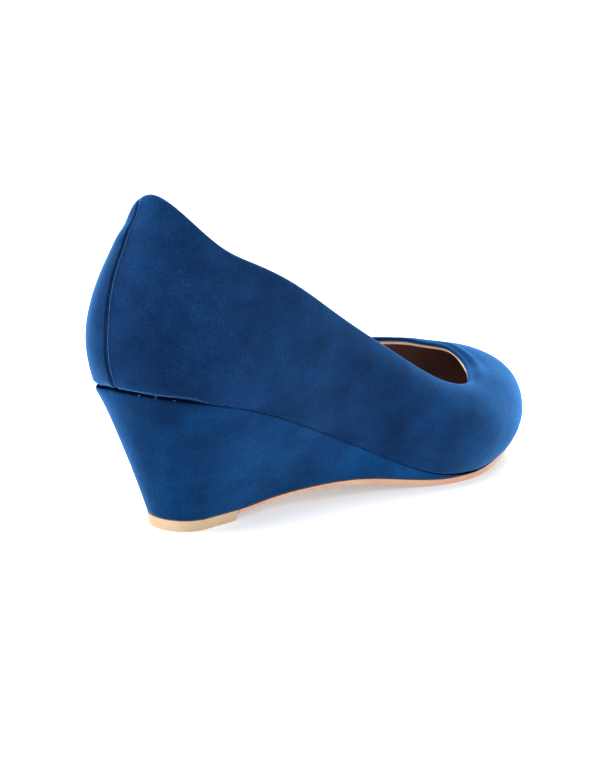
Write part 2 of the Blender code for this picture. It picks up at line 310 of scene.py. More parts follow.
def last_rows():
    """Rows in metres around the shoe; the wall's four shares are left as they are."""
    scale = np.array([LENGTH, BALL_WIDTH, LENGTH, BALL_WIDTH, BACK_HEIGHT, 1, 1, 1, 1])
    mirror = np.array([1, OUTER, 1, OUTER, 1, 1, 1, 1, 1])
    outer = [np.array(row) * scale * mirror for row in OUTER_SECTIONS]
    inner = [np.array(row) * scale for row in INNER_SECTIONS]
    return [np.array(BACK_SECTION) * scale] + outer + [np.array(TIP_SECTION) * scale] + inner[::-1]


def last_at(angles):
    """The columns of the table at any angles, by name."""
    values = closed_curve(last_knots(), last_rows(), angles)
    return {name: values[:, i] for i, name in enumerate(COLUMNS)}


def feather_width(x, side):
    """Distance of the feather line from the centre line, signed, at x on one side."""
    angles = np.arccos(np.clip(1 - 2 * np.asarray(x) / LENGTH, -1, 1))
    return last_at(angles if side == OUTER else 2 * math.pi - angles)["width"]


def floor_curve(x):
    """Underside of the outsole: arch behind the tread, flat tread, toe spring before it."""
    start = TOP_PIECE_THICKNESS - SHANK_THICKNESS
    breast = TOP_PIECE_SETBACK + TOP_PIECE_LENGTH
    arch = start + (ARCH_RISE - start) * ease(breast, ARCH_CREST * LENGTH, x)
    arch = arch * (1 - ease(ARCH_CREST * LENGTH, TREAD_BACK * LENGTH, x))
    u = np.clip((x / LENGTH - TREAD_FRONT) / (1 - TREAD_FRONT), 0, None)
    return arch + TOE_SPRING * u**SPRING_POWER


def outsole_thickness(x):
    grown = ease(SHANK_END * LENGTH, FULL_SOLE_START * LENGTH, x)
    return SHANK_THICKNESS + (OUTSOLE_THICKNESS - SHANK_THICKNESS) * grown


def sole_line(x):
    """Height of the feather line, where the upper turns under."""
    u = np.clip((x / LENGTH - TREAD_FRONT) / (1 - TREAD_FRONT), 0, None)
    flat = OUTSOLE_THICKNESS + GAP
    lift = level_ended_curve(LIFT_SECTIONS, x / LENGTH)
    return flat + (SEAT_HEIGHT - flat) * lift + TOE_SPRING * u**SPRING_POWER


def wedge_underside(x):
    return np.where(x < TOP_PIECE_SETBACK + TOP_PIECE_LENGTH, TOP_PIECE_THICKNESS,
                    floor_curve(x) + outsole_thickness(x)) + GAP


def wedge_front():
    """Where the wedge has thinned to its edge, under the ball."""
    x = np.linspace(FULL_SOLE_START, TREAD_FRONT, 400) * LENGTH
    thick = sole_line(x) - GAP - wedge_underside(x)
    return float(x[np.argmax(thick < WEDGE_EDGE)])


def bottom_width(x, side):
    """Half width of the bottom edge: the top piece's round back, opening to the feather line."""
    half = TOP_PIECE_WIDTH / 2
    back = np.clip((TOP_PIECE_SETBACK + TOP_PIECE_ROUND - x) / TOP_PIECE_ROUND, 0, 1)
    spread = level_ended_curve(SPREAD_SECTIONS, x / LENGTH)
    full = feather_width(x, side)
    return (side * half + (full - side * half) * spread) * np.sqrt(1 - back**2)


# The wall of the upper, sampled finely

def foot_points(angles):
    x = LENGTH * (1 - np.cos(angles)) / 2
    return np.column_stack([x, last_at(angles)["width"], sole_line(x)])


def top_points(angles):
    last = last_at(angles)
    height = sole_line(last["top_along"]) + last["top_height"]
    return np.column_stack([last["top_along"], last["top_width"], height])


def outward(points_at, angles):
    """Unit normals in plan of a loop round the shoe, pointing away from its middle."""
    step = 0.01
    along = points_at(angles + step) - points_at(angles - step)
    normal = np.column_stack([along[:, 1], -along[:, 0], np.zeros(len(angles))])
    return normal / np.linalg.norm(normal, axis=1)[:, None]


def groove_share(x):
    """How open the groove under the wall is: wide round the heel, fine along the waist."""
    share = x / LENGTH
    heel = 1 - ease(0.045, 0.090, share)
    ball = ease(0.53, 0.64, share) * (1 - ease(0.93, 1.02, share))
    return 0.15 + 0.85 * heel + 0.35 * ball


def uneven(points, scale, seed):
    """Noise from -1 to 1 at points in metres."""
    return np.array([noise.noise(Vector(point) * scale + Vector((seed, 0, 0))) for point in points])


def layered(points, layers):
    """Sum of layers of noise at points."""
    return sum(size * uneven(points, scale, seed) for size, scale, seed in layers)


class Wall:
    """The outer face of the wall at a set of angles, as Bezier curves read by length."""

    SAMPLES = 80

    def __init__(self, angles):
        self.angles = angles
        last = last_at(angles)
        self.foot = foot_points(angles)
        self.top = top_points(angles)
        tall = (self.top[:, 2] - self.foot[:, 2])[:, None]
        up = np.array([0, 0, 1])
        self.out = outward(foot_points, angles)
        out_top = outward(top_points, angles)
        bulge, rise, flare, drop = (last[name][:, None] for name in ("bulge", "rise", "flare", "drop"))
        self.low_handle = self.foot + tall * (self.out * bulge + up * rise)
        self.high_handle = self.top + tall * (out_top * flare - up * drop)
        self.shares = np.linspace(0, 1, self.SAMPLES)
        grid = np.array([self.point(np.full(len(angles), t)) for t in self.shares])
        pieces = np.linalg.norm(np.diff(grid, axis=0), axis=2)
        self.nap_and_painted_light_along = np.vstack([np.zeros(len(angles)), np.cumsum(pieces, axis=0)])
        self.height = self.nap_and_painted_light_along[-1]

    def point(self, t):
        t = t[:, None]
        s = 1 - t
        return (s**3 * self.foot + 3 * t * s**2 * self.low_handle
                + 3 * t**2 * s * self.high_handle + t**3 * self.top)

    def slope(self, t):
        t = t[:, None]
        s = 1 - t
        along = (s**2 * (self.low_handle - self.foot) + 2 * t * s * (self.high_handle - self.low_handle)
                 + t**2 * (self.top - self.high_handle))
        return along / np.linalg.norm(along, axis=1)[:, None]

    def at(self, distance):
        """Points, outward normals and upward directions at a distance above the foot."""
        t = np.array([np.interp(d, column, self.shares) for d, column in zip(distance, self.nap_and_painted_light_along.T)])
        points = self.point(t)
        up = self.slope(t)
        around = np.roll(points, -1, 0) - np.roll(points, 1, 0)
        normal = np.cross(around, up)
        normal /= np.linalg.norm(normal, axis=1)[:, None]
        return points, normal, up


def angles_around():
    """Even angles round the shoe, with more of them near the back seam."""
    even = np.linspace(SEAM_MIDDLE + SEAM_REACH, SEAM_MIDDLE + 2 * math.pi - SEAM_REACH, AROUND)
    u = np.linspace(-1, 1, SEAM_AROUND)[1:-1]
    near = SEAM_MIDDLE + SEAM_REACH * (0.5 * u + 0.5 * u**3)
    return np.sort(np.mod(np.concatenate([even, near]), 2 * math.pi))


def signed(angles):
    """Angles from the back seam, negative on the inner side."""
    return np.where(angles > math.pi, angles - 2 * math.pi, angles)


# Meshes

def placed(points):
    """Points on the shoe, the heel seat's inner back corner a little fuller and lower than its sections."""
    points = np.asarray(points).reshape(-1, 3)
    weight = (bell(points[:, 0], CORNER_AT, 0.009) * ease(0.002, 0.012, points[:, 1])
              * bell(points[:, 2], SEAT_HEIGHT, 0.006))
    return [tuple(point) for point in points + weight[:, None] * CORNER_SHIFT + SHOE]


def tube_faces(rows, around, close_rows):
    """Faces of rows of points, each row a closed loop; the rows close on themselves if asked."""
    faces = []
    for r in range(rows if close_rows else rows - 1):
        a, b = r * around, ((r + 1) % rows) * around
        for i in range(around):
            j = (i + 1) % around
            faces.append((a + i, a + j, b + j, b + i))
    return faces


def add_piece(name, points, faces, material, smooth_angle=60):
    """A mesh piece on the shoe, its faces turned outwards."""
    mesh = bpy.data.meshes.new(name)
    mesh.from_pydata(placed(points), [], faces)
    bm = bmesh.new()
    bm.from_mesh(mesh)
    bmesh.ops.remove_doubles(bm, verts=bm.verts, dist=1e-7)
    bmesh.ops.recalc_face_normals(bm, faces=bm.faces)
    bm.to_mesh(mesh)
    bm.free()
    mesh.materials.append(material)
    mesh.shade_smooth()
    mesh.set_sharp_from_angle(angle=math.radians(smooth_angle))
    item = bpy.data.objects.new(name, mesh)
    bpy.context.scene.collection.objects.link(item)
    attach(item, "root")
    return item


# Materials

def principled(name, roughness):
    material = bpy.data.materials.new(name)
    material.use_nodes = True
    tree = material.node_tree
    shader = tree.nodes["Principled BSDF"]
    shader.inputs["Roughness"].default_value = roughness
    shader.inputs["Metallic"].default_value = 0.0
    place = tree.nodes.new("ShaderNodeTexCoord").outputs["Object"]
    return material, tree, shader, place


def noise_of(tree, place, scale, detail=4.0, roughness=0.6, stretch=None):
    """Noise over the object's own metres; stretch squeezes it along the axes."""
    if stretch:
        mapping = tree.nodes.new("ShaderNodeMapping")
        mapping.inputs["Scale"].default_value = stretch
        tree.links.new(place, mapping.inputs["Vector"])
        place = mapping.outputs["Vector"]
    texture = tree.nodes.new("ShaderNodeTexNoise")
    texture.inputs["Scale"].default_value = scale
    texture.inputs["Detail"].default_value = detail
    texture.inputs["Roughness"].default_value = roughness
    tree.links.new(place, texture.inputs["Vector"])
    return texture.outputs["Fac"]


def ramp_of(tree, value, stops):
    """Colour ramp through stops of place and colour."""
    ramp = tree.nodes.new("ShaderNodeValToRGB")
    elements = ramp.color_ramp.elements
    while len(elements) < len(stops):
        elements.new(0.5)
    for element, (place, colour) in zip(elements, stops):
        element.position = place
        element.color = (*colour, 1)
    tree.links.new(value, ramp.inputs["Fac"])
    return ramp.outputs["Color"]


def mix_of(tree, factor, first, second, blend="MIX"):
    mix = tree.nodes.new("ShaderNodeMix")
    mix.data_type = "RGBA"
    mix.blend_type = blend
    for key, value in (("Factor", factor), ("A", first), ("B", second)):
        socket = mix.inputs[key]
        if isinstance(value, (int, float)):
            socket.default_value = value
        elif isinstance(value, tuple):
            socket.default_value = (*value, 1)
        else:
            tree.links.new(value, socket)
    return mix.outputs["Result"]


def bump_of(tree, height, distance, strength, before=None):
    bump = tree.nodes.new("ShaderNodeBump")
    bump.inputs["Distance"].default_value = distance
    bump.inputs["Strength"].default_value = strength
    tree.links.new(height, bump.inputs["Height"])
    if before is not None:
        tree.links.new(before, bump.inputs["Normal"])
    return bump.outputs["Normal"]


def lengthwise(tree, place):
    """Place along the shoe, 0 at the heel's back and 1 at the toe's tip."""
    split = tree.nodes.new("ShaderNodeSeparateXYZ")
    tree.links.new(place, split.inputs["Vector"])
    spread = tree.nodes.new("ShaderNodeMapRange")
    spread.inputs["From Min"].default_value = cad_low.x
    spread.inputs["From Max"].default_value = cad_high.x
    tree.links.new(split.outputs["X"], spread.inputs["Value"])
    return spread.outputs["Result"]


def suede_material(name, dark, light, sheen, nap_and_painted_light_along):
    """Napped blue suede: brushed patches, fine fibres, a pale sheen where it turns away, and shades along
    the shoe that are partly painted light.
    """
    material, tree, shader, place = principled(name, 0.95)
    patches = noise_of(tree, place, 30, 3, 0.6, (1.0, 1.0, 0.7))
    brushed = ramp_of(tree, patches, ((0.36, dark), (0.64, light)))
    strokes = noise_of(tree, place, 95, 4, 0.6, (0.6, 1.0, 1.0))
    mottle = ramp_of(tree, strokes, ((0.36, (0.74, 0.76, 0.78)), (0.64, (1.22, 1.20, 1.18))))
    nap = noise_of(tree, place, 1500, 3, 0.7)
    fibres = ramp_of(tree, nap, ((0.25, (0.50, 0.50, 0.54)), (0.75, (1.32, 1.32, 1.28))))
    # Shades along the shoe: partly the nap's lie, partly painted light, darker at the heel and lighter
    # towards the toe
    toeward_painted_light = ramp_of(tree, lengthwise(tree, place), nap_and_painted_light_along)
    colour = mix_of(tree, 1.0, brushed, mottle, "MULTIPLY")
    colour = mix_of(tree, 1.0, colour, fibres, "MULTIPLY")
    colour = mix_of(tree, 1.0, colour, toeward_painted_light, "MULTIPLY")
    tree.links.new(colour, shader.inputs["Base Color"])
    soft = bump_of(tree, noise_of(tree, place, 220, 3, 0.6), 0.0004, 0.30)
    fine = bump_of(tree, nap, 0.0002, 0.50, soft)
    tree.links.new(fine, shader.inputs["Normal"])
    shader.inputs["Specular IOR Level"].default_value = 0.03
    shader.inputs["Sheen Weight"].default_value = sheen
    shader.inputs["Sheen Roughness"].default_value = 0.36
    shader.inputs["Sheen Tint"].default_value = (0.10, 0.38, 0.95, 1)
    return material


def lining_material():
    """Brown lining leather with a fine grain."""
    material, tree, shader, place = principled("lining_leather", 0.6)
    stain = noise_of(tree, place, 90, 4, 0.6)
    colour = ramp_of(tree, stain, ((0.3, (0.225, 0.134, 0.113)), (0.7, (0.280, 0.167, 0.143))))
    tree.links.new(colour, shader.inputs["Base Color"])
    tree.links.new(bump_of(tree, noise_of(tree, place, 1800, 5), 0.0001, 0.5), shader.inputs["Normal"])
    return material


def lining_edge_material():
    """Raw pale edge of the lining, a peach tan."""
    material, tree, shader, place = principled("lining_edge", 0.65)
    fleck = noise_of(tree, place, 700, 4, 0.6)
    colour = ramp_of(tree, fleck, ((0.25, (1.0, 0.70, 0.52)), (0.75, (1.0, 0.82, 0.66))))
    tree.links.new(colour, shader.inputs["Base Color"])
    tree.links.new(bump_of(tree, fleck, 0.0001, 0.4), shader.inputs["Normal"])
    return material


def sole_material():
    """Tan sole with a smooth edge, a faint mottle and painted light that lifts its shaded toe."""
    material, tree, shader, place = principled("tan_sole", 0.48)
    mottle = noise_of(tree, place, 90, 4, 0.6)
    colour = ramp_of(tree, mottle, ((0.3, (0.69, 0.37, 0.23)), (0.7, (0.79, 0.45, 0.29))))
    # Painted light: the toe's edge, which sits in shade under the toe, is lightened
    toeward_painted_light = ramp_of(tree, lengthwise(tree, place), ((0.70, (1.0, 1.0, 1.0)), (0.92, (1.08, 1.14, 1.12))))
    colour = mix_of(tree, 1.0, colour, toeward_painted_light, "MULTIPLY")
    # Faces turned down are darkened and greyed, which cuts the tan bounce light from the underside onto the
    # floor
    facing = tree.nodes.new("ShaderNodeSeparateXYZ")
    tree.links.new(tree.nodes.new("ShaderNodeNewGeometry").outputs["Normal"], facing.inputs["Vector"])
    spread = tree.nodes.new("ShaderNodeMapRange")
    spread.inputs["From Min"].default_value = -1.0
    tree.links.new(facing.outputs["Z"], spread.inputs["Value"])
    under = ramp_of(tree, spread.outputs["Result"], ((0.10, (0.45, 0.62, 0.80)), (0.25, (1.0, 1.0, 1.0))))
    colour = mix_of(tree, 1.0, colour, under, "MULTIPLY")
    tree.links.new(colour, shader.inputs["Base Color"])
    tree.links.new(bump_of(tree, noise_of(tree, place, 1400, 4), 0.0001, 0.35), shader.inputs["Normal"])
    return material


def rubber_material():
    """Beige hard rubber of the top piece."""
    material, tree, shader, place = principled("beige_rubber", 0.42)
    mottle = noise_of(tree, place, 120, 3, 0.5)
    colour = ramp_of(tree, mottle, ((0.3, (0.52, 0.37, 0.22)), (0.7, (0.63, 0.45, 0.28))))
    tree.links.new(colour, shader.inputs["Base Color"])
    tree.links.new(bump_of(tree, noise_of(tree, place, 2000, 3), 0.00008, 0.3), shader.inputs["Normal"])
    return material


def thread_and_crease_shade_material():
    """Dark blue thread of the back seam's stitches, also the painted shade in the seam's crease."""
    material, tree, shader, place = principled("seam_thread_and_crease_shade", 0.9)
    shader.inputs["Specular IOR Level"].default_value = 0.05
    twist = noise_of(tree, place, 4000, 2, 0.5)
    colour = ramp_of(tree, twist, ((0.3, (0.004, 0.010, 0.035)), (0.7, (0.010, 0.026, 0.080))))
    tree.links.new(colour, shader.inputs["Base Color"])
    return material


def groove_shade_material():
    """Strip of painted shade in the groove: near black where the groove is open at the heel and ball, blue
    where the groove closes.
    """
    material, tree, shader, place = principled("groove_painted_shade", 1.0)
    shader.inputs["Specular IOR Level"].default_value = 0.0
    fleck = noise_of(tree, place, 800, 3, 0.6)
    shade = ramp_of(tree, fleck, ((0.3, (0.6, 0.6, 0.6)), (0.7, (1.4, 1.4, 1.4))))
    # Painted shade: near black where the groove is open and deep, blue where it closes
    black, blue = (0.0012, 0.0030, 0.010), (0.0040, 0.0200, 0.066)
    shades = ((0.075, black), (0.12, blue), (0.53, blue), (0.60, black))
    painted_groove_shade = ramp_of(tree, lengthwise(tree, place), shades)
    colour = mix_of(tree, 1.0, painted_groove_shade, shade, "MULTIPLY")
    tree.links.new(colour, shader.inputs["Base Color"])
    tree.links.new(bump_of(tree, fleck, 0.0001, 0.4), shader.inputs["Normal"])
    return material


def glue_material():
    """Dried glue, a dull grey blue."""
    material, tree, shader, place = principled("dried_glue", 0.5)
    fleck = noise_of(tree, place, 1500, 3, 0.6)
    colour = ramp_of(tree, fleck, ((0.3, (0.012, 0.028, 0.065)), (0.7, (0.032, 0.062, 0.115))))
    tree.links.new(colour, shader.inputs["Base Color"])
    tree.links.new(bump_of(tree, fleck, 0.0001, 0.4), shader.inputs["Normal"])
    return material


def lint_material():
    """Pale specks of lint."""
    material, tree, shader, place = principled("lint", 0.8)
    shader.inputs["Specular IOR Level"].default_value = 0.05
    fleck = noise_of(tree, place, 900, 2, 0.5)
    colour = ramp_of(tree, fleck, ((0.3, (0.03, 0.09, 0.19)), (0.7, (0.08, 0.16, 0.28))))
    tree.links.new(colour, shader.inputs["Base Color"])
    return material


# Pieces

SEAM_WALL = Wall(np.array([-0.01, 0.0, 0.01]))
SEAM_POINTS = np.array([SEAM_WALL.point(np.full(3, t))[1] for t in SEAM_WALL.shares])


def throat_share(wall):
    """One round the throat, none along the sides."""
    turned = wall.angles % (2 * math.pi)
    return ease(1.9, 2.35, turned) * (1 - ease(3.7, 4.3, turned))


def back_share(wall):
    """One at the back seam, falling away to both sides."""
    return bell(signed(wall.angles), 0.0, 0.35)


def seam_offset(wall, points):
    """Signed distance across the heel from the back seam, positive on the outer side."""
    share = np.interp(points[:, 2], SEAM_POINTS[:, 2], SEAM_WALL.shares)
    low, top = 1 - ease(0.25, 0.60, share), ease(0.75, 0.92, share)
    strayed = SEAM_STRAY + SEAM_STRAY_LOW * low + SEAM_STRAY_TOP * top
    across = np.interp(points[:, 2], SEAM_POINTS[:, 2], SEAM_POINTS[:, 1]) - strayed - points[:, 1]
    return np.where(np.abs(signed(wall.angles)) < 0.6, across, 1.0)


def seam_line(distances):
    """Places, outward normals and upward directions along the back seam."""
    wall = Wall(np.linspace(-0.03, 0.10, 14))
    found = []
    for distance in distances:
        parts = wall.at(np.full(len(wall.angles), distance))
        across = seam_offset(wall, parts[0])[1:-1]
        found.append([[np.interp(0.0, across, part[1:-1, k]) for k in range(3)] for part in parts])
    return np.array(found).transpose(1, 0, 2)


def surface_detail(wall, distance, points):
    """Height of the suede above the last's even surface: seam, creases and soft waves."""
    from_rim = wall.height - distance
    angle = wall.angles % (2 * math.pi)
    across = seam_offset(wall, points)
    height = np.zeros(len(points))
    # Back seam: a crease, steep on the inner side, with a raised edge on the outer side and small puckers
    crease = np.where(across < 0, bell(across, 0.0, 0.00038), bell(across, 0.0, 0.00085))
    pucker = np.sin(distance / 0.00045 + 2.5 * np.sin(distance / 0.0031))
    seam = 0.00022 * bell(across, 0.0017, 0.0007) - SEAM_DEPTH * crease
    seam += 0.00006 * pucker * (bell(across, -0.0018, 0.0010) + bell(across, 0.0012, 0.0005))
    height += seam * (0.3 + 0.7 * ease(0.0006, 0.005, from_rim))
    # The counter's soft swells under the back of the collar
    back = back_share(wall)
    for swell, below, spread in COLLAR_SWELLS:
        height += swell * back * bell(from_rim, below, spread)
    # Trough round the throat and the soft ridge beyond it, widest towards the outer side
    throat = throat_share(wall)
    lean = 1 + 0.30 * bell(angle, 2.4, 0.40)
    for swell, below, spread in THROAT_SWELLS:
        height += swell * throat * bell(from_rim, below * lean, spread * lean)
    # Soft waves of the hand-lasted leather, and the turned edge's own unevenness
    fade = np.clip(from_rim / 0.006, 0, 1)
    height += fade * layered(points, SUEDE_WAVES)
    height += 0.00016 * bell(distance, 0.0, 0.003) * uneven(points, 260, 9.0)
    return height


def upper_rows(wall):
    """Closed section loop of the upper at each angle: underside, wall, folded rim, inner face."""
    rows = []

    def margin(inset, rise):
        points = wall.foot - wall.out * inset
        points[:, 2] = sole_line(points[:, 0]) + rise
        return points

    open_share = groove_share(wall.foot[:, 0])
    tuck = UNDER_TUCK * open_share * (1 + 0.35 * uneven(wall.foot, 150, 5.0))
    rise = UNDER_RISE * open_share * np.maximum(1 + layered(wall.foot, RAGGED_EDGE), 0.25)
    for share in (1.0, 0.6, 0.3):
        rows.append(margin(share * LASTING_MARGIN, 0.0))
    rows.append(margin(tuck[:, None], 0.0))
    for turn in (0.2, 0.4, 0.6, 0.8, 0.94):
        distance = rise * turn**1.3
        inset = tuck * (1 - turn)
        points, normal, up = wall.at(distance)
        points = points + normal * surface_detail(wall, distance, points)[:, None]
        rows.append(points - wall.out * inset[:, None])
    for share in np.linspace(0, 1, WALL_ROWS):
        distance = rise + (wall.height - RIM_ROUND - rise) * share
        points, normal, up = wall.at(distance)
        rows.append(points + normal * surface_detail(wall, distance, points)[:, None])
    # The folded rim: a full roll outside, a tighter one inside
    for turn in np.linspace(0, math.pi, RIM_ROWS)[1:]:
        outside = max(math.cos(turn), 0.0)
        if outside > 0:
            below = RIM_ROUND * (1 - math.sin(turn))
            offset = RIM_CREST * (1 - outside)
        else:
            below = RIM_INSIDE * (1 - math.sin(turn))
            offset = RIM_CREST - (WALL - RIM_CREST) * math.cos(turn)
        distance = wall.height - below
        points, normal, up = wall.at(distance)
        offset = offset - outside * surface_detail(wall, distance, points)
        rows.append(points - normal * offset[:, None])
    for share in np.linspace(1, 0, INSIDE_ROWS)[1:]:
        distance = 2 * WALL + (wall.height - RIM_INSIDE - 2 * WALL) * share
        points, normal, up = wall.at(distance)
        rows.append(points - normal * WALL)
    for inset in (1.6 * WALL, 0.5 * LASTING_MARGIN, LASTING_MARGIN):
        rows.append(margin(inset, WALL))
    return rows


def make_upper(material, wall):
    rows = upper_rows(wall)
    faces = tube_faces(len(rows), len(wall.angles), True)
    item = add_piece("upper_suede", np.array(rows), faces, material, 40)
    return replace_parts(item, "upper")


def shell_rows(wall, outer_offset, thickness, top_gap, bottom, steps):
    """Closed section loop of a thin shell lying inside the wall."""
    rows = []
    for offset, shares in ((outer_offset, np.linspace(0, 1, steps)),
                           (outer_offset + thickness, np.linspace(1, 0, steps))):
        for share in shares:
            distance = bottom + (wall.height - top_gap - bottom) * share
            points, normal, up = wall.at(distance)
            rows.append(points - normal * offset)
    return rows


def make_lining(material, wall):
    rows = shell_rows(wall, WALL + 0.00003, LINING_THICKNESS, FOLD_DEPTH, 1.9 * WALL, LINING_ROWS)
    faces = tube_faces(len(rows), len(wall.angles), True)
    return add_piece("upper_lining", np.array(rows), faces, material)


def make_lining_edge(material, wall):
    """Rounded strip along the top of the lining, with the hand-cut unevenness of a trimmed edge."""
    across = WALL + LINING_EDGE_THICKNESS / 2 - 0.0001
    rows = []
    trimmed = layered(wall.top, TRIMMED_EDGE)
    throat = ease(1.7, 2.1, wall.angles) * (1 - ease(2.6, 3.1, wall.angles))
    fold = FOLD_DEPTH - (FOLD_DEPTH - FOLD_AT_THROAT) * throat
    for turn in np.linspace(0, 2 * math.pi, 12, endpoint=False):
        below = fold + LINING_EDGE_WIDTH / 2 - LINING_EDGE_WIDTH / 2 * math.sin(turn) + trimmed
        points, normal, up = wall.at(wall.height - below)
        offset = across - LINING_EDGE_THICKNESS / 2 * math.cos(turn)
        rows.append(points - normal * offset)
    faces = tube_faces(len(rows), len(wall.angles), True)
    return add_piece("lining_edge", np.array(rows), faces, material)


def plate(name, x, outer, inner, low, high, roundness, material, columns=28):
    """Closed plate between two edges, crosswise columns, its long edges rounded."""
    turn = np.linspace(0, math.pi, columns + 1)
    across = (1 - np.cos(turn)) / 2
    bulge = (1 - np.abs(2 * across - 1)**roundness)**(1 / roundness)
    middle = (low + high) / 2
    half = (high - low) / 2
    rows = []
    for way in (1, -1):
        shares = list(zip(across, bulge))
        for share, swell in (shares if way == 1 else shares[::-1][1:-1]):
            y = outer + (inner - outer) * share
            rows.append(np.column_stack([x, y, middle + way * half * swell]))
    grid = np.array(rows)
    around, steps = grid.shape[0], grid.shape[1]
    points = grid.transpose(1, 0, 2)
    faces = tube_faces(steps, around, False)
    faces.append(tuple(range(around)))
    faces.append(tuple(reversed(range((steps - 1) * around, steps * around))))
    return add_piece(name, points, faces, material, 50)


def edge_points(inset, angles):
    points = foot_points(angles)
    return points - outward(foot_points, angles) * inset


def make_insole(material):
    """Sock on the insole board, a little domed and laid up to the lining all round."""
    half = np.linspace(0.0, math.pi, SOCK_STEPS)
    count = len(half)
    wall = Wall(np.concatenate([half, 2 * math.pi - half[-2:0:-1]]))
    board_top = WALL + INSOLE_CLEARANCE + INSOLE_THICKNESS
    points, normal, up = wall.at(np.full(len(wall.angles), board_top))
    lap = points - normal * (WALL + LINING_THICKNESS + SOCK_CLEARANCE)
    low = edge_points(WALL + INSOLE_CLEARANCE, wall.angles)
    across = (1 - np.cos(np.linspace(0, math.pi, SOCK_COLUMNS))) / 2
    bulge = (1 - np.abs(2 * across - 1)**9)**(1 / 9)
    rows = []
    for loop, picks in ((lap, range(SOCK_COLUMNS)), (low, range(SOCK_COLUMNS - 2, 0, -1))):
        one = loop[:count]
        other = np.vstack([loop[:1], loop[:count - 1:-1], loop[count - 1:count]])
        for k in picks:
            line = one + (other - one) * across[k]
            if loop is lap:
                dome = SOCK_DOME * 4 * across[k] * (1 - across[k])
                lift = INSOLE_THICKNESS * (0.86 + 0.14 * bulge[k]) + dome
            else:
                lift = INSOLE_THICKNESS * 0.5 * (1 - bulge[k])
            line[:, 2] = sole_line(line[:, 0]) + WALL + INSOLE_CLEARANCE + lift
            rows.append(line)
    grid = np.array(rows)
    around, steps = grid.shape[0], grid.shape[1]
    faces = tube_faces(steps, around, False)
    faces.append(tuple(range(around)))
    faces.append(tuple(reversed(range((steps - 1) * around, steps * around))))
    item = add_piece("insole_sock", grid.transpose(1, 0, 2), faces, material, 50)
    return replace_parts(item, "insole")


def slab_faces(rings, steps):
    """Faces of rings from the bottom up, each an outer run and an inner run read backwards."""
    around = 2 * steps
    faces = tube_faces(rings, around, False)
    last = (rings - 1) * around
    for k in range(steps - 1):
        far = around - 1 - k
        faces.append((k, far, far - 1, k + 1))
        faces.append((last + k, last + k + 1, last + far - 1, last + far))
    return faces


def make_wedge(material):
    """Covered wedge with softly rounded upper and lower edges."""
    steps, rings = WEDGE_STEPS, WEDGE_RINGS
    front = wedge_front()
    back = feather_width([0.0], OUTER)[0]
    turn = np.linspace(0, math.pi / 2, steps)
    top_x = WEDGE_INSET + (front - WEDGE_INSET) * (1 - np.cos(turn))
    low_x = TOP_PIECE_SETBACK + (front - TOP_PIECE_SETBACK) * (1 - np.cos(turn))

    def top_width(x, side):
        shifted = np.clip(x - WEDGE_INSET * (1 - x / front), 0, LENGTH)
        full = feather_width(shifted, side)
        return full - side * np.minimum(WEDGE_INSET, np.abs(full - back) / 4)

    sides = (OUTER, INNER)
    under, over = wedge_underside(low_x), sole_line(top_x) - GAP
    low = np.array([np.column_stack([low_x, bottom_width(low_x, s), under]) for s in sides])
    top = np.array([np.column_stack([top_x, top_width(top_x, s), over]) for s in sides])
    tall = np.linalg.norm(top - low, axis=2)
    radius = np.minimum(WEDGE_ROUND, 0.3 * tall)
    worn = np.array([1 + layered(top[k], WORN_EDGE) for k in (0, 1)])
    drop = np.minimum((WEDGE_ROUND + (WEDGE_DROP - WEDGE_ROUND) * groove_share(top_x)) * worn, 0.3 * tall)
    out = np.zeros_like(top)
    out[:, :, 0] = -np.cos(turn)**2
    out[:, :, 1] = np.array([[OUTER], [INNER]]) * np.sin(turn)
    grid = []
    quarter = np.linspace(0, 1, 7)[:-1] * math.pi / 2
    for kind, value in ([("low", a) for a in quarter] + [("side", t) for t in np.linspace(0, 1, rings)]
                        + [("top", a) for a in quarter[::-1]]):
        if kind == "side":
            reach = radius + (tall - radius - drop) * value
            inset = np.zeros_like(radius)
        elif kind == "low":
            reach = radius * (1 - math.cos(value))
            inset = radius * (1 - math.sin(value))
        else:
            reach = tall - drop * (1 - math.cos(value))
            inset = drop * (1 - math.sin(value))
        t = (reach / tall)[:, :, None]
        points = low + (top - low) * t
        pull = 4 * t[:, :, 0] * (1 - t[:, :, 0]) * WEDGE_HOLLOW * (top - low)[:, :, 2] / SEAT_HEIGHT
        for side in (0, 1):
            for i in range(steps):
                place = Vector(points[side, i])
                wave = sum(size * noise.noise(place * scale) for size, scale in WEDGE_WAVES)
                pull[side, i] -= wave * min(1.0, tall[side, i] / 0.012)
        # The inner side stands a little fuller at its upper back corner
        near_corner = bell(top_x, CORNER_AT, 0.012) * ease(0.0, 0.25, turn)
        pull[1] -= 0.0005 * ease(0.3, 1.0, t[1, :, 0]) * near_corner
        points -= out * (pull + inset)[:, :, None]
        grid.append(np.vstack([points[0], points[1][::-1]]))
    faces = slab_faces(len(grid), steps)
    item = add_piece("wedge_cover", np.array(grid), faces, material, 55)
    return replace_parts(item, "wedge")


def make_outsole(material):
    """Thin sole from the top piece's breast to the toe, its edge rounded by the trimmer."""
    start = TOP_PIECE_SETBACK + TOP_PIECE_LENGTH + GAP
    turn = np.linspace(0, math.pi / 2, SOLE_STEPS)
    x = start + (LENGTH - start) * np.sin(turn)
    item = plate("outsole_sheet", x, bottom_width(x, OUTER), bottom_width(x, INNER), floor_curve(x),
                 floor_curve(x) + outsole_thickness(x), 26, material)
    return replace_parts(item, "outsole")


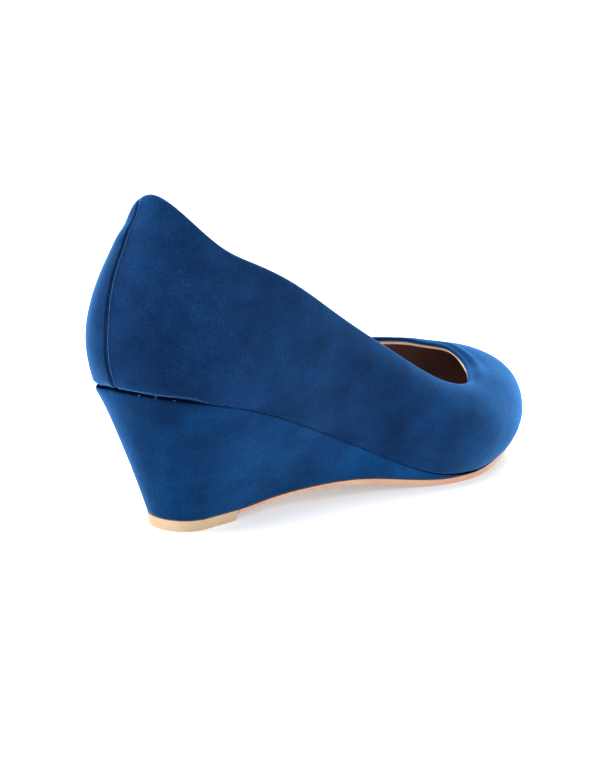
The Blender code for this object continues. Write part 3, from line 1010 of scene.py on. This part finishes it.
def make_top_piece(material):
    """D-shaped top piece, drawn in a little towards the floor."""
    turn = np.linspace(0, math.pi / 2, TOP_PIECE_STEPS)
    x = TOP_PIECE_SETBACK + TOP_PIECE_LENGTH * (1 - np.cos(turn))
    sides = (OUTER, INNER)
    middle = TOP_PIECE_SETBACK + TOP_PIECE_LENGTH / 2
    edge = 0.0003
    grid = []
    profile = [(0.0, edge), (edge * 0.3, edge * 0.3), (edge, 0.0), (TOP_PIECE_THICKNESS / 2, 0.0),
               (TOP_PIECE_THICKNESS - edge * 0.5, 0.0), (TOP_PIECE_THICKNESS, edge * 0.5)]
    for height, inset in profile:
        taper = TOP_PIECE_TAPER * (1 - height / TOP_PIECE_THICKNESS) + inset
        run = np.array([np.column_stack([
            middle + (x - middle) * (1 - 2 * taper / TOP_PIECE_LENGTH),
            bottom_width(x, s) * (1 - 2 * taper / TOP_PIECE_WIDTH),
            np.full(len(x), height)]) for s in sides])
        grid.append(np.vstack([run[0], run[1][::-1]]))
    faces = slab_faces(len(grid), len(x))
    item = add_piece("heel_top_piece", np.array(grid), faces, material, 40)
    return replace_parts(item, "heel_tip")


def make_groove_shade_strip(material):
    """Dark strip that closes the groove between the upper and what is under it: painted shade that darkens
    the groove.
    """
    angles = np.linspace(0, 2 * math.pi, AROUND, endpoint=False)
    foot = foot_points(angles)
    size = groove_share(foot[:, 0])
    inset = (UNDER_TUCK * 0.48 * size - 0.00006)[:, None]
    middle = foot - outward(foot_points, angles) * inset
    middle[:, 2] = sole_line(middle[:, 0]) - GAP / 2
    radius = (0.00050 * (0.35 + 0.65 * size) * (1 + 0.3 * uneven(foot, 300, 11.0)))[:, None]
    out = outward(foot_points, angles)
    up = np.array([0, 0, 1.0])
    rows = [middle + radius * (out * math.cos(turn) + up * math.sin(turn))
            for turn in np.linspace(0, 2 * math.pi, 10, endpoint=False)]
    faces = tube_faces(len(rows), len(angles), True)
    return add_piece("groove_shade_strip", np.array(rows), faces, material)


def make_glue_traces(material):
    """Dried glue that has squeezed out of the groove in a few places."""
    rng = random.Random(GLUE_SEED)
    bm = bmesh.new()
    for angle, count in GLUE_PLACES:
        for k in range(count):
            at = np.array([angle + rng.uniform(-0.02, 0.02)])
            foot = foot_points(at)
            out = outward(foot_points, at)
            spot = foot - out * UNDER_TUCK * rng.uniform(0.05, 0.35) * groove_share(foot[:, 0])
            spot[:, 2] = sole_line(spot[:, 0]) - rng.uniform(-0.0002, 0.0007) * groove_share(foot[:, 0])
            size = rng.uniform(*GLUE_SIZES)
            turn = Vector(out[0]).to_track_quat("Z", "Y").to_matrix().to_4x4()
            matrix = (Matrix.Translation(Vector(spot[0] + SHOE)) @ turn
                      @ Matrix.Diagonal((size * rng.uniform(1.2, 3.4), size * 0.55, size * 0.35, 1)))
            bmesh.ops.create_icosphere(bm, subdivisions=2, radius=1.0, matrix=matrix)
    return finish_small("glue_traces", bm, material)


def capsule(bm, start, end, radius):
    """Short round-ended thread from start to end."""
    along = end - start
    turn = along.to_track_quat("Z", "Y").to_matrix().to_4x4()
    size = Matrix.Diagonal((radius, radius, along.length / 2, 1))
    matrix = Matrix.Translation((start + end) / 2) @ turn @ size
    bmesh.ops.create_icosphere(bm, subdivisions=2, radius=1.0, matrix=matrix)


def finish_small(name, bm, material):
    mesh = bpy.data.meshes.new(name)
    bm.to_mesh(mesh)
    bm.free()
    mesh.materials.append(material)
    mesh.shade_smooth()
    item = bpy.data.objects.new(name, mesh)
    bpy.context.scene.collection.objects.link(item)
    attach(item, "root")
    return item


def make_seam_crease_shade(material):
    """Dark tube in the bottom of the back seam's crease: painted shade."""
    points, normal, up = seam_line(np.linspace(0.0008, SEAM_WALL.height[1] - 0.0012, 120))
    side = np.cross(up, normal)
    middle = points - normal * (SEAM_DEPTH - 0.00010)
    ring = np.linspace(0, 2 * math.pi, 8, endpoint=False)[None, :, None]
    rows = middle[:, None] + CREASE_SHADE_RADIUS * (normal[:, None] * np.cos(ring) + side[:, None] * np.sin(ring))
    faces = tube_faces(len(rows), 8, False)
    faces.append(tuple(range(8)))
    faces.append(tuple(reversed(range(8 * (len(rows) - 1), 8 * len(rows)))))
    return add_piece("back_seam_crease_shade", rows, faces, material)


def make_seam_stitches(material):
    """Small stitches along the back seam."""
    bm = bmesh.new()
    places = np.arange(0.003, SEAM_WALL.height[1] - 0.002, STITCH_PITCH)
    for point, out, rise in zip(*seam_line(places)):
        middle = Vector(point + SHOE)
        out = Vector(out)
        outer = Vector((0, OUTER, 0))
        start = middle - outer * 0.00010 - out * 0.00085
        end = middle + outer * 0.00065 - out * 0.00030 + Vector(rise) * 0.00022
        capsule(bm, start, end, STITCH_RADIUS)
    return finish_small("back_seam_stitches", bm, material)


def make_lint(material, wall):
    """Sparse specks of lint on the suede, too small to see as shapes."""
    rng = random.Random(LINT_SEED)
    bm = bmesh.new()
    for i in range(LINT_COUNT):
        share = rng.uniform(0.06, 0.94)
        k = rng.randrange(len(wall.angles))
        if abs(signed(wall.angles)[k]) < 0.04:
            continue
        local = Wall(wall.angles[[k - 1, k, (k + 1) % len(wall.angles)]])
        points, normal, up = local.at(local.height * share)
        size = rng.uniform(*LINT_SIZES)
        spot = Vector(points[1] + SHOE) + Vector(normal[1]) * 0.00012
        turn = Vector(normal[1]).to_track_quat("Z", "Y").to_matrix().to_4x4()
        long = rng.uniform(1.0, 2.2)
        matrix = Matrix.Translation(spot) @ turn @ Matrix.Diagonal((size * long, size, size * 0.6, 1))
        bmesh.ops.create_icosphere(bm, subdivisions=1, radius=1.0, matrix=matrix)
    return finish_small("lint_specks", bm, material)


# Stage

def make_floor():
    material, tree, shader, place = principled("pale_floor", 1.0)
    shader.inputs["Base Color"].default_value = (1.0, 1.0, 1.0, 1)
    shader.inputs["Specular IOR Level"].default_value = 0.0
    shader.inputs["Emission Color"].default_value = (1.0, 1.0, 1.0, 1)
    shader.inputs["Emission Strength"].default_value = FLOOR_GLOW
    bm = bmesh.new()
    bmesh.ops.create_grid(bm, x_segments=1, y_segments=1, size=FLOOR_SIZE)
    mesh = bpy.data.meshes.new("floor")
    bm.to_mesh(mesh)
    bm.free()
    mesh.materials.append(material)
    floor = bpy.data.objects.new("floor", mesh)
    bpy.context.scene.collection.objects.link(floor)


def add_area(name, place, target, size, power):
    light = bpy.data.lights.new(name, "AREA")
    light.shape = "DISK"
    light.size = size
    light.energy = power
    item = bpy.data.objects.new(name, light)
    item.location = place
    item.rotation_mode = "QUATERNION"
    item.rotation_quaternion = (Vector(target) - Vector(place)).to_track_quat("-Z", "Y")
    bpy.context.scene.collection.objects.link(item)


def make_lights():
    world = bpy.data.worlds.new("studio")
    bpy.context.scene.world = world
    world.use_nodes = True
    background = world.node_tree.nodes["Background"]
    background.inputs["Color"].default_value = (1.0, 1.0, 1.0, 1)
    background.inputs["Strength"].default_value = 1.0
    for light in LIGHTS:
        add_area(*light)


def make_camera():
    theta, rise, roll = (math.radians(v) for v in (CAMERA_AZIMUTH, CAMERA_ELEVATION, CAMERA_ROLL))
    forward = Vector((math.cos(theta) * math.cos(rise), math.sin(theta) * math.cos(rise), -math.sin(rise)))
    level = Vector((math.sin(theta), -math.cos(theta), 0))
    upright = level.cross(forward)
    right = level * math.cos(roll) + upright * math.sin(roll)
    up = upright * math.cos(roll) - level * math.sin(roll)
    data = bpy.data.cameras.new("camera")
    data.lens = CAMERA_LENS
    data.clip_start = 0.01
    camera = bpy.data.objects.new("camera", data)
    turn = Matrix((right, up, -forward)).transposed()
    camera.rotation_mode = "QUATERNION"
    camera.rotation_quaternion = turn.to_quaternion()
    target = Vector(AIM) + Vector(SHOE)
    camera.location = target - forward * CAMERA_DISTANCE + right * AIM_RIGHT + up * AIM_UP
    bpy.context.scene.collection.objects.link(camera)
    bpy.context.scene.camera = camera


def main():
    suede = suede_material("blue_suede", *UPPER_NAP_AND_LIGHT)
    cover = suede_material("wedge_suede", *WEDGE_NAP_AND_LIGHT)
    lining = lining_material()
    wall = Wall(angles_around())
    inside = Wall(np.linspace(0, 2 * math.pi, INSIDE_AROUND, endpoint=False))
    make_upper(suede, wall)
    make_lining(lining, inside)
    edge = Wall(np.linspace(0, 2 * math.pi, EDGE_AROUND, endpoint=False))
    make_lining_edge(lining_edge_material(), edge)
    make_insole(lining)
    make_wedge(cover)
    make_outsole(sole_material())
    make_top_piece(rubber_material())
    thread_and_shade = thread_and_crease_shade_material()
    # One dark material: painted shade in the seam's crease, and the stitches' own thread colour
    make_seam_crease_shade(thread_and_shade)
    make_seam_stitches(thread_and_shade)
    make_groove_shade_strip(groove_shade_material())
    make_glue_traces(glue_material())
    make_lint(lint_material(), inside)
    make_floor()
    make_lights()
    make_camera()
    bpy.context.scene.view_settings.view_transform = "Standard"


main()
